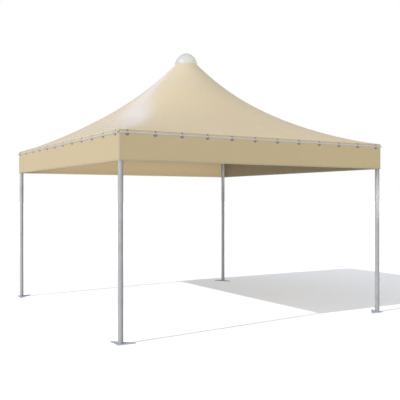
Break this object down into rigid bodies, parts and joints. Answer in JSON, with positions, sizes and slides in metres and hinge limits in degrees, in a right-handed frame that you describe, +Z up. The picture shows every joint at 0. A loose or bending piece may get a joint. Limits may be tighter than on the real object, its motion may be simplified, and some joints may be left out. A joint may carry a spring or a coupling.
{
  "type": "marquee tent",
  "caption": "Square peaked-roof marquee: beige coated-fabric roof stretched over a short mast and crossed arms, with valances, clamp rails and galvanised posts on foot plates.",
  "frame": {"origin": "on the ground under the roof's peak, in the middle of the square plan", "axes": "+Z up, -Y towards the front (the picture's long right-hand side), -X towards the left side"},
  "size_m": [4.055, 4.0551, 3.8056],
  "materials": {
    "roof_fabric": "PVC-coated polyester, satin, smooth",
    "valance_fabric": "PVC-coated polyester, satin, hemmed",
    "galvanised_tube": "hot-dip galvanised, satin grey",
    "galvanised_plate": "hot-dip galvanised, dull grey",
    "galvanised_rail": "galvanised, satin light grey",
    "corner_rod_metal": "satin grey",
    "cap_plastic": "moulded light grey ABS, soft gloss"
  },
  "bodies": {
    "root": {"base_plate_front_left": "galvanised_plate", "base_plate_front_right": "galvanised_plate", "base_plate_back_right": "galvanised_plate", "base_plate_back_left": "galvanised_plate", "post_front_left": "galvanised_tube", "post_front_right": "galvanised_tube", "post_back_right": "galvanised_tube", "post_back_left": "galvanised_tube", "corner_connector_front_left": "galvanised_plate", "corner_connector_front_right": "galvanised_plate", "corner_connector_back_right": "galvanised_plate", "corner_connector_back_left": "galvanised_plate", "roof_arm_front_left": "galvanised_tube", "roof_arm_front_right": "galvanised_tube", "roof_arm_back_right": "galvanised_tube", "roof_arm_back_left": "galvanised_tube", "corner_rod_front_left": "corner_rod_metal", "corner_rod_front_right": "corner_rod_metal", "corner_rod_back_right": "corner_rod_metal", "corner_rod_back_left": "corner_rod_metal", "eaves_beam_front": "galvanised_tube", "eaves_beam_right": "galvanised_tube", "eaves_beam_back": "galvanised_tube", "eaves_beam_left": "galvanised_tube", "roof_panel_front": "roof_fabric", "roof_panel_right": "roof_fabric", "roof_panel_back": "roof_fabric", "roof_panel_left": "roof_fabric", "valance_front": "valance_fabric", "valance_right": "valance_fabric", "valance_back": "valance_fabric", "valance_left": "valance_fabric", "clamp_rail_front": "galvanised_rail", "clamp_rail_right": "galvanised_rail", "clamp_rail_back": "galvanised_rail", "clamp_rail_left": "galvanised_rail", "mast_hub": "galvanised_plate", "mast": "galvanised_tube", "mast_head": "galvanised_plate", "peak_cap": "cap_plastic"}
  },
  "joints": []
}
